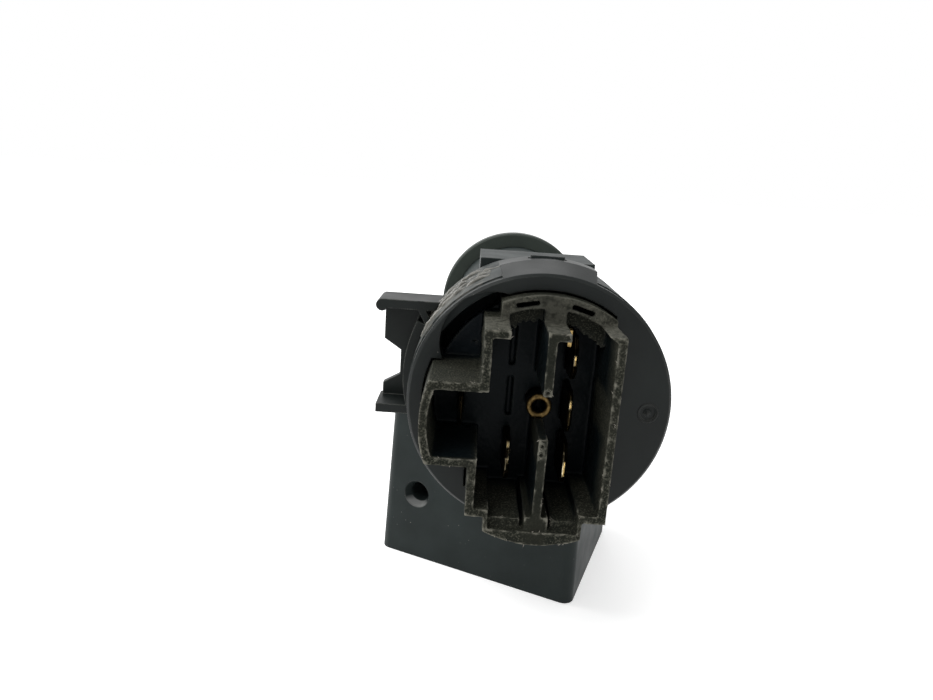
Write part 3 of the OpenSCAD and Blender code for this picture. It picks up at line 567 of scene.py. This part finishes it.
def wear(points, edges, outward):
    """How far each point is worn and frayed, from how sharply the surface bends out there, with a painted
    light share on the top of the rim.
    """
    near_rim = np.clip((rim_y + 3 * RIM_DEPTH - points[:, 1]) / RIM_DEPTH, 0, 1)
    lengths = np.linalg.norm(points[edges[:, 0]] - points[edges[:, 1]], axis=1)
    count = np.bincount(edges.ravel(), minlength=len(points))
    reach = np.bincount(edges.ravel(), np.repeat(lengths, 2), len(points)) / count
    bulge = np.einsum("ij,ij->i", points - neighbour_mean(edges, points), outward) / reach
    bulge = neighbour_mean(edges, np.clip(bulge, 0, None))
    least, most = np.percentile(bulge[near_rim > 0.5], WORN_PERCENTILES)
    worn = np.clip((bulge - least) / (most - least), 0, 1)
    frayed = worn * near_rim * (waves(points, FRAY_SIZE) > 0.05)
    on_top_rim = (points[:, 2] > TOP_RIM_Z) * (points[:, 1] < TOP_RIM_Y + RIM_DEPTH)
    # painted light: a flat pale share on the rim's upward face, carried in the worn attribute
    worn = np.maximum(worn * (WORN_INSIDE + (1 - WORN_INSIDE) * near_rim), TOP_RIM_PAINTED_LIGHT * on_top_rim)
    return worn, frayed


def unshaded_by_cells(mesh, points, edges, outward):
    """1 where nothing of the moulding stands over the surface, and 0 in its cells: the share left out of the
    painted shade.
    """
    faces = BVHTree.FromPolygons(points.tolist(), [list(face.vertices) for face in mesh.polygons])
    unshaded_share = np.array([faces.ray_cast(Vector(point + AIR_START * way), Vector(way), AIR_REACH)[0] is None
                      for point, way in zip(points, outward)], float)
    for step in range(AIR_PASSES):
        unshaded_share = neighbour_mean(edges, unshaded_share)
    return unshaded_share


socket_shell = piece_of("socket_shell", merged_shape("connector_shroud"))
cells = socket_shell.modifiers.new("cells", "REMESH")
cells.mode = "VOXEL"
cells.voxel_size = SOCKET_VOXEL
mesh = settled(socket_shell).data
points, edges = read_points(mesh), read_edges(mesh)
for step in range(SMOOTHING_PASSES):
    points += 0.5 * (neighbour_mean(edges, points) - points)
write_points(mesh, points)
write_points(mesh, eroded(points, read_normals(mesh)))
mesh.calc_loop_triangles()
thinned = socket_shell.modifiers.new("thinned", "DECIMATE")
thinned.ratio = min(1.0, SOCKET_TRIANGLES / len(mesh.loop_triangles))
mesh = settled(socket_shell).data
surface = (read_points(mesh), read_edges(mesh), read_normals(mesh))
worn, frayed = wear(*surface)
for label, values in (("worn", worn), ("frayed", frayed), ("open_air", unshaded_by_cells(mesh, *surface))):
    mesh.attributes.new(label, "FLOAT", "POINT").data.foreach_set("value", values)
mesh.polygons.foreach_set("use_smooth", [True] * len(mesh.polygons))
mesh.update()

RIGHT_WALL_X = (7.4 * MM, 8.4 * MM)
BOTTOM_WALL_Z = (-11.4 * MM, -12.4 * MM)
NEAR_MOUTH_Y = (-4.5 * MM, -9.4 * MM)
MOUTH_Y = (-9.7 * MM, -10.3 * MM)
AGED_AND_LIT_Y = (3.5 * MM, 1 * MM)
RIB_X = (0.9 * MM, 2.2 * MM)
RECESS_X = (-9.2 * MM, -9.8 * MM)
RECESS_Z = (6.2 * MM, 6.8 * MM)
PATCH_SIZE = 4 * MM
GRIT_SIZE = 0.24 * MM
AGED_BROWNS = ((0.0106, 0.0120, 0.0092), (0.0182, 0.0190, 0.0144))
GRIT_BROWN = (0.066, 0.066, 0.051)
# painted shade: the near-black of the socket's cells and depths
CELL_SHADE_BLACKS = ((0.0040, 0.0062, 0.0072), (0.0052, 0.0076, 0.0086))
RECESS_LIT_BLUE = (0.0110, 0.0150, 0.0185)
RUBBED_SIZE = 0.9 * MM
RUBBED_GREY = (0.165, 0.160, 0.132)
PORE_SIZE = 0.2 * MM
PORE_DEPTH = 0.06 * MM
aged_plastic, tree, shader, place = new_finish("aged_plastic")
at = xyz(tree, place)
patches = cloud(tree, place, PATCH_SIZE, 4.0)
on_walls = combine(tree, "MAXIMUM", between(tree, at["X"], *RIGHT_WALL_X),
                   between(tree, at["Z"], *BOTTOM_WALL_Z))
walls_near_mouth = combine(tree, "MAXIMUM", product(tree, on_walls, between(tree, at["Y"], *NEAR_MOUTH_Y)),
                  between(tree, at["Y"], *MOUTH_Y))
# painted shade: near black where the moulding stands over the surface and deep in the socket, brown elsewhere
unshaded_share = node(tree, "ShaderNodeAttribute", attribute_name="open_air").outputs["Fac"]
aged_and_lit = product(tree, combine(tree, "MAXIMUM", unshaded_share, walls_near_mouth), between(tree, at["Y"], *AGED_AND_LIT_Y))
off_rib = between(tree, combine(tree, "ABSOLUTE", at["X"]), *RIB_X, 0.15, 1.0)
grit = product(tree, between(tree, cloud(tree, place, GRIT_SIZE), 0.5, 0.68), off_rib)
brown = blend_colours(tree, between(tree, patches, 0.35, 0.65), *AGED_BROWNS)
gritty = blend_colours(tree, grit, brown, GRIT_BROWN)
cell_shade_black = blend_colours(tree, between(tree, patches, 0.4, 0.6), *CELL_SHADE_BLACKS)
# painted light: the plate seen through the upper left recess is lighter and bluer than the shaded cells
in_recess = product(tree, between(tree, at["X"], *RECESS_X), between(tree, at["Z"], *RECESS_Z))
plastic = blend_colours(tree, aged_and_lit, blend_colours(tree, in_recess, cell_shade_black, RECESS_LIT_BLUE), gritty)
# the worn attribute carries rim wear and a painted light on the top of the rim
worn_and_lit_here = node(tree, "ShaderNodeAttribute", attribute_name="worn").outputs["Fac"]
rubbed = product(tree, worn_and_lit_here, between(tree, cloud(tree, place, RUBBED_SIZE), 0.34, 0.56, 0.15, 1.0))
tree.links.new(blend_colours(tree, rubbed, plastic, RUBBED_GREY), shader.inputs["Base Color"])
tree.links.new(between(tree, aged_and_lit, 0.0, 1.0, 0.34, 0.68), shader.inputs["Roughness"])
emboss(tree, shader, product(tree, cloud(tree, place, PORE_SIZE), aged_and_lit), 0.7, PORE_DEPTH)
shader.inputs["Specular IOR Level"].default_value = 0.05
mesh.materials.clear()
mesh.materials.append(aged_plastic)
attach(socket_shell, "housing")
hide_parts("connector_shroud")

# Burrs: thin torn slivers of the same plastic, paler where they are stretched.
# They hang on the socket's rim where plugs have scraped it.
BURR_TILT = ((-1.4, -1.4, 0), (1.4, 1.4, 6.2))
BURR_SCALE = ((0.5, 0.15, 0.3), (1.3, 0.4, 1.2))
BURR_SHADES = ((0.12, 0.105, 0.08), (0.34, 0.32, 0.28))
BURR_SHADE_SIZE = 0.8 * MM


def slivers(tree, size):
    """Slivers scattered over the frayed edges of the socket."""
    shell = node(tree, "GeometryNodeObjectInfo", {"Object": size["shell"]}).outputs["Geometry"]
    frayed = node(tree, "GeometryNodeInputNamedAttribute", {"Name": "frayed"}, data_type="FLOAT")
    density = product(tree, frayed.outputs["Attribute"], size["density"])
    scatter = node(tree, "GeometryNodeDistributePointsOnFaces",
                   {"Mesh": shell, "Density": density, "Seed": size["seed"]}).outputs
    sliver = node(tree, "GeometryNodeMeshCone", {"Vertices": 4, "Radius Top": 0.0, "Depth": size["long"],
                                                 "Radius Bottom": size["thick"]}).outputs["Mesh"]
    tilt = random_vector(tree, *BURR_TILT, size["seed"])
    scale = random_vector(tree, *BURR_SCALE, size["seed"])
    turned = node(tree, "FunctionNodeRotateRotation", {"Rotation": scatter["Rotation"], "Rotate By": tilt},
                  rotation_space="LOCAL").outputs["Rotation"]
    return copies(tree, scatter["Points"], sliver, Rotation=turned, Scale=scale)


pale_burr, tree, shader, place = new_finish("pale_burr")
tint = blend_colours(tree, cloud(tree, place, BURR_SHADE_SIZE), *BURR_SHADES)
tree.links.new(tint, shader.inputs["Base Color"])
shader.inputs["Roughness"].default_value = 0.6
rim_burrs = grown("rim_burrs", slivers, pale_burr, shell=socket_shell, density=3.5e6, thick=0.08 * MM,
                  long=0.45 * MM, seed=11)
points = read_points(rim_burrs.data)
points[:, 1] = np.maximum(points[:, 1], rim_y)
write_points(rim_burrs.data, points)
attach(rim_burrs, "housing")

# Blade terminals: folded from thin brass sheet, and pushed through the base plate from behind.
# They are tarnished brown, and bright only on the tips: partly where a plug has rubbed them, partly painted
# glints placed where light glints off them.
BLADE_HALF_W = 3.15 * MM
BLADE_HALF_T = 0.4 * MM
BLADE_TIP_Y = -3 * MM
BLADE_FLOOR_Y = 4 * MM
BLADE_ROOT = 0.2 * MM
TIP_CORNER = 1.4 * MM
TIP_SLOPE = 0.86
TIP_ROUND = 0.35 * MM
FOLD_DEPTH = 0.14 * MM
FOLD_HALF_W = 0.1 * MM
NICK_DEPTH = 0.10 * MM
NICK_SIZE = (0.5 * MM, 0.9 * MM)
COLUMN_X = 4.3 * MM
ROW_PITCH = 8.2 * MM
ARM_X = 11.8 * MM
ARM_Z = -0.1 * MM
ACROSS, ALONG = 9, 64
ZONE_FADE = 0.22
RUBBED_AND_GLINT_BRASS = (0.95, 0.80, 0.50)
TARNISH = ((0.006, 0.005, 0.003), (0.014, 0.010, 0.005))
TARNISH_SIZE = 1.2 * MM
SHINE_SIZE = 0.5 * MM
SHEET_GRAIN = 0.15 * MM
SHEET_DEPTH = 0.01 * MM


def rubbed_and_glint_share(side, height, zones):
    """How bright the brass is, rubbed tarnish and painted glint, from zones in mm: lowest, highest, leftmost,
    rightmost and share.
    """
    share = 0.0
    for low, high, left, right, most in zones:
        inside = min(height / MM - low, high - height / MM, 4 * (side / MM - left), 4 * (right - side / MM))
        share = max(share, most * min(max(inside / ZONE_FADE, 0.0), 1.0))
    return share


def tip_y(side, height, x, z):
    """Where the blade's tip ends, with its cut corners, fold line, rounded edges and nicks."""
    corner = max(0.0, abs(height) - BLADE_HALF_W + TIP_CORNER) * TIP_SLOPE
    fold = FOLD_DEPTH * max(0.0, 1 - abs(side) / FOLD_HALF_W)
    round_off = TIP_ROUND * (abs(side) / BLADE_HALF_T) ** 3
    nick = noise.noise(Vector((side / NICK_SIZE[0] + x * 900, height / NICK_SIZE[1], z * 700)))
    return BLADE_TIP_Y + corner + fold + round_off + max(NICK_DEPTH * nick, 0)


def folded_blade(name, cad_name, x, z, zones):
    """A blade lofted up its width, from its tip back to the solid's own pad."""
    shape = merged_shape(cad_name)
    bmesh.ops.bisect_plane(shape, geom=shape.verts[:] + shape.edges[:] + shape.faces[:], dist=0.001 * MM,
                           plane_co=(0, BLADE_FLOOR_Y, 0), plane_no=(0, 1, 0), clear_inner=True)
    bmesh.ops.holes_fill(shape, edges=[edge for edge in shape.edges if edge.is_boundary])
    # the rubbed attribute carries rub wear and painted glints
    rubbed = shape.verts.layers.float.new("rubbed")
    rows = []
    for step in range(ALONG):
        height = BLADE_HALF_W * (2 * step / (ALONG - 1) - 1)
        row = []
        for part in range(ACROSS):
            side = BLADE_HALF_T * (2 * part / (ACROSS - 1) - 1)
            row.append(shape.verts.new((x + side, tip_y(side, height, x, z), z + height)))
            row[-1][rubbed] = rubbed_and_glint_share(side, height, zones)
        for side in (BLADE_HALF_T, -BLADE_HALF_T):
            row.append(shape.verts.new((x + side, BLADE_FLOOR_Y + BLADE_ROOT, z + height)))
        rows.append(row)
    for low, high in zip(rows, rows[1:]):
        for a in range(len(low)):
            b = (a + 1) % len(low)
            shape.faces.new((low[a], high[a], high[b], low[b]))
    shape.faces.new(rows[0])
    shape.faces.new(reversed(rows[-1]))
    bmesh.ops.recalc_face_normals(shape, faces=shape.faces)
    piece = piece_of(name, shape)
    piece.data.materials.append(tarnished_brass)
    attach(piece, "housing")
    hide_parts(cad_name)


tarnished_brass, tree, shader, place = new_finish("tarnished_brass")
# painted glint: bright brass where the rubbed attribute places glints on the tips
rubbed_and_glint_here = node(tree, "ShaderNodeAttribute", attribute_name="rubbed").outputs["Fac"]
bright = product(tree, rubbed_and_glint_here, between(tree, cloud(tree, place, SHINE_SIZE), 0.3, 0.55, 0.55, 1.0))
dark = blend_colours(tree, between(tree, cloud(tree, place, TARNISH_SIZE, 5.0), 0.4, 0.62), *TARNISH)
tree.links.new(blend_colours(tree, bright, dark, RUBBED_AND_GLINT_BRASS), shader.inputs["Base Color"])
tree.links.new(between(tree, bright, 0.0, 1.0, 0.48, 0.22), shader.inputs["Roughness"])
emboss(tree, shader, cloud(tree, place, SHEET_GRAIN), 0.3, SHEET_DEPTH)
shader.inputs["Metallic"].default_value = 1.0
folded_blade("blade_upper", "terminal_upper", COLUMN_X, ROW_PITCH,
             ((-0.2, 0.7, -0.3, 0.4, 1.0), (-0.9, 0.0, -0.2, 0.25, 0.7)))
folded_blade("blade_middle", "terminal_middle", COLUMN_X, 0.0,
             ((0.7, 2.1, -0.2, 0.25, 0.9), (-3.0, 2.7, -0.05, 0.09, 0.4)))
folded_blade("blade_lower_right", "terminal_lower_right", COLUMN_X, -ROW_PITCH,
             ((-2.0, 0.7, -0.25, 0.2, 1.0), (0.6, 2.1, -0.35, -0.15, 0.35), (-2.9, -1.3, -0.4, -0.2, 0.4)))
folded_blade("blade_lower_left", "terminal_lower_left", -COLUMN_X, -ROW_PITCH,
             ((2.1, 3.0, -0.2, 0.3, 0.8), (-0.3, 2.0, 0.0, 0.4, 1.0), (-1.4, 0.7, -0.4, -0.05, 0.5),
              (-2.9, -1.6, -0.4, -0.1, 0.4)))
folded_blade("blade_arm", "terminal_arm", -ARM_X, ARM_Z, ((0.2, 1.1, -0.1, 0.1, 0.08),))

# Link strip: a narrow brass strip beside the upper rib.
# It is cut from the same sheet as the blades, and dulled all over.
dull_brass = metal("dull_brass", colour=(0.36, 0.25, 0.10), stain=(0.16, 0.105, 0.04), roughness=0.34,
                   patch=TARNISH_SIZE, grain=SHEET_GRAIN, depth=0.006 * MM)
dress(dull_brass, "link_strip")

# Hollow rivet: a drawn brass tube in the middle of the plate.
# It guides the plug's pin, and its mouth is rolled over. Below its rolled lip it is painted near black as
# shade, in the bore and down the tube.
EYELET_BORE_R = 0.95 * MM
EYELET_R = 1.75 * MM
LIP_R = 0.45 * MM
LIP_MIDDLE = 1.5 * MM
LIP_STEPS = 12
PLATE_END = 6.5 * MM
RIVET_SIDES = 64
SHADE_FROM = 0.3 * MM
SHADE_TO = 0.8 * MM
LIP_BRASS = ((0.150, 0.100, 0.038), (0.060, 0.040, 0.016))
LIP_STAIN_SIZE = 0.8 * MM
BORE_PAINTED_SHADE = (0.007, 0.006, 0.004)


def turned_piece(name, profile, sides):
    """A closed profile of radius and Y, turned about the lock axis."""
    shape = bmesh.new()
    rings = [[shape.verts.new((r * math.cos(a), y, r * math.sin(a))) for r, y in profile]
             for a in (2 * math.pi * side / sides for side in range(sides))]
    for ring, after in zip(rings, rings[1:] + rings[:1]):
        for here in range(len(profile)):
            there = (here + 1) % len(profile)
            shape.faces.new((ring[here], ring[there], after[there], after[here]))
    bmesh.ops.recalc_face_normals(shape, faces=shape.faces)
    piece = piece_of(name, shape)
    piece.data.polygons.foreach_set("use_smooth", [True] * len(piece.data.polygons))
    return piece


eyelet_low, eyelet_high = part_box("eyelet")
mouth_y, back_y, flange_r = eyelet_low.y, eyelet_high.y, eyelet_high.x
neck_y = mouth_y + 2 * LIP_R
mouth = [(LIP_MIDDLE + LIP_R * math.cos(a), mouth_y + LIP_R * (1 - math.sin(a)))
         for a in (math.pi * (1 - step / LIP_STEPS) for step in range(LIP_STEPS + 1))]
rivet_profile = [(EYELET_BORE_R, back_y), (EYELET_BORE_R, neck_y), *mouth, (EYELET_R, neck_y),
                 (EYELET_R, PLATE_END), (flange_r, PLATE_END), (flange_r, back_y)]
rolled_rivet = turned_piece("rolled_rivet", rivet_profile, RIVET_SIDES)
rivet_brass, tree, shader, place = new_finish("rivet_brass")
stained = between(tree, cloud(tree, place, LIP_STAIN_SIZE, 6.0), 0.42, 0.62)
lip_brass = blend_colours(tree, stained, *LIP_BRASS)
# painted shade: near black past the lip, where the bore and the tube sink into the socket
shaded_below_lip = between(tree, xyz(tree, place)["Y"], mouth_y + SHADE_FROM, mouth_y + SHADE_TO)
tree.links.new(blend_colours(tree, shaded_below_lip, lip_brass, BORE_PAINTED_SHADE), shader.inputs["Base Color"])
shader.inputs["Metallic"].default_value = 1.0
shader.inputs["Roughness"].default_value = 0.42
rolled_rivet.data.materials.append(rivet_brass)
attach(rolled_rivet, "housing")
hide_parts("eyelet")

# Switch cover: a moulded round flange with a latch tab, clipped over the cup.
# The mould left a small dial on its right, a thin ring with a domed dot in its middle.
DIAL_X = 16.5 * MM
DIAL_FLATNESS = 0.6
dress(moulded_black, "flange_cap")


def ring_and_dot(tree, size):
    """A ring and a flattened dot, half sunk in the flange."""
    ring = swept(tree, circle(tree, size["ring"], 48), circle(tree, size["bead"], 8))
    dot = node(tree, "GeometryNodeMeshUVSphere", {"Segments": 24, "Rings": 12, "Radius": size["dot"]})
    both = node(tree, "GeometryNodeJoinGeometry", {"Geometry": ring})
    tree.links.new(dot.outputs["Mesh"], both.inputs["Geometry"])
    return moved(tree, both.outputs["Geometry"], Translation=vector_of(tree, X=size["across"]),
                 Rotation=UPRIGHT, Scale=(1, 1, DIAL_FLATNESS))


dial_black = satin_black("dial_black", colour=(0.017, 0.0185, 0.0175), worn=(0.075, 0.078, 0.073),
                         roughness=0.4, grain=0.2 * MM, depth=0.02 * MM, edge=0.15 * MM)
mould_dial = grown("mould_dial", ring_and_dot, dial_black, ring=1.45 * MM, bead=0.16 * MM, dot=0.38 * MM,
                   across=DIAL_X)
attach(mould_dial, "housing")

# Front bezel: a moulded ring pressed over the barrel's end, with a painted tick for each key position.
# Its plastic is duller than the switch cover's, and its black is painted greyer, as painted light on its
# face.
TICK_R = 13.6 * MM
key_turn = next(joint for joint in frame["record"]["behaviour"]["joints"] if joint["name"] == "key_turn")
# painted light: the same black moulding painted lighter, making up for light its rear face lacks
bezel_grey = satin_black("bezel_grey", colour=(0.034, 0.042, 0.036), worn=(0.085, 0.090, 0.082),
                         roughness=0.45, grain=0.3 * MM, depth=0.012 * MM, edge=0.3 * MM)
dress(bezel_grey, "front_bezel")


def ticks_round_bezel(tree, size):
    """Bars on an arc, each pointing at the lock axis."""
    bar_size = vector_of(tree, X=size["long"], Y=size["thick"], Z=size["wide"])
    bar = node(tree, "GeometryNodeMeshCube", {"Size": bar_size}).outputs["Mesh"]
    place = node(tree, "GeometryNodeInputPosition").outputs["Position"]
    turn = node(tree, "FunctionNodeAlignRotationToVector", {"Vector": place}, axis="X", pivot_axis="Y")
    arc = arc_round_lock(tree, size, size["count"])
    bars = copies(tree, arc, bar, Rotation=turn.outputs["Rotation"])
    return moved(tree, bars, Translation=vector_of(tree, Y=size["face"]))


tick_paint = satin_black("tick_paint", colour=(0.50, 0.49, 0.46), worn=(0.30, 0.29, 0.27),
                         roughness=0.5, grain=0.2 * MM, depth=0.01 * MM, edge=0.1 * MM)
position_ticks = grown("position_ticks", ticks_round_bezel, tick_paint, radius=TICK_R, start=math.radians(90),
                       sweep=math.radians(key_turn["range_deg"][1]), count=4, long=2.4 * MM,
                       thick=0.3 * MM, wide=0.6 * MM, face=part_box("front_bezel")[1].y)
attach(position_ticks, "housing")

# Studio: a pale floor just under the block's foot, in a white room.
# One soft lamp stands above and to the left, and two fainter ones behind light the casting's upper edges.
FLOOR_GAP = 0.02 * MM
FLOOR_HALF = 3.0
FLOOR_GLOW = 0.46
FLOOR_WHITES = ((0.90, 0.90, 0.90), (0.92, 0.92, 0.92))
PAPER_SIZE = 30 * MM
ROOM_LIGHT = 0.6


def seen_rays(tree):
    """1 for the rays that show the background, straight, in a reflection or through glass."""
    ray = node(tree, "ShaderNodeLightPath").outputs
    direct = combine(tree, "MAXIMUM", ray["Is Camera Ray"], ray["Is Glossy Ray"])
    return combine(tree, "MAXIMUM", direct, ray["Is Transmission Ray"])


floor_z = cad_box[0].z - FLOOR_GAP
floor_corners = [(x * FLOOR_HALF, y * FLOOR_HALF, floor_z) for x, y in ((-1, -1), (1, -1), (1, 1), (-1, 1))]
floor_mesh = bpy.data.meshes.new("studio_floor")
floor_mesh.from_pydata(floor_corners, [], [(0, 1, 2, 3)])
studio_floor = new_piece("studio_floor", floor_mesh)
pale_floor, tree, shader, place = new_finish("pale_floor")
paper = blend_colours(tree, cloud(tree, place, PAPER_SIZE), *FLOOR_WHITES)
tree.links.new(paper, shader.inputs["Base Color"])
shader.inputs["Roughness"].default_value = 0.9
shader.inputs["Specular IOR Level"].default_value = 0.0
tree.links.new(product(tree, seen_rays(tree), FLOOR_GLOW), shader.inputs["Emission Strength"])
shader.inputs["Emission Color"].default_value = (1, 1, 1, 1)
floor_mesh.materials.append(pale_floor)

world = bpy.data.worlds.new("white_room")
bpy.context.scene.world = world
world.use_nodes = True
tree = world.node_tree
background = tree.nodes["Background"].inputs
tree.links.new(between(tree, seen_rays(tree), 0.0, 1.0, ROOM_LIGHT, 1.0), background["Strength"])
background["Color"].default_value = (1, 1, 1, 1)


def soft_lamp(name, place, size, power):
    """A round lamp that looks at the middle of the object."""
    lamp = bpy.data.lights.new(name, "AREA")
    lamp.shape = "DISK"
    lamp.size = size
    lamp.energy = power
    holder = new_piece(name, lamp)
    holder.location = place
    target = (cad_box[0] + cad_box[1]) / 2
    holder.rotation_euler = (target - Vector(place)).to_track_quat("-Z", "Y").to_euler()


soft_lamp("key_lamp", place=(-0.30, -0.25, 0.50), size=0.35, power=1.6)
soft_lamp("rim_lamp", place=(-0.40, 0.20, 0.22), size=0.30, power=1.2)
soft_lamp("top_lamp", place=(-0.05, 0.35, 0.55), size=0.50, power=1.3)

PICTURE_WIDTH = 933
FOCAL_PIXELS = 700
CAMERA_PLACE = Vector((-11.56, -100.31, 33.76)) * MM
CAMERA_AIM = Vector((0.0012, 0.9684, -0.2494))
CAMERA_ROLL = math.radians(3.89)
camera = bpy.data.cameras.new("camera")
camera.lens = camera.sensor_width * FOCAL_PIXELS / PICTURE_WIDTH
camera.clip_start = 5 * MM
viewer = new_piece("camera", camera)
turned = CAMERA_AIM.to_track_quat("-Z", "Y").to_matrix() @ Matrix.Rotation(CAMERA_ROLL, 3, "Z")
viewer.matrix_world = Matrix.Translation(CAMERA_PLACE) @ turned.to_4x4()
bpy.context.scene.camera = viewer
bpy.context.scene.view_settings.view_transform = "Standard"
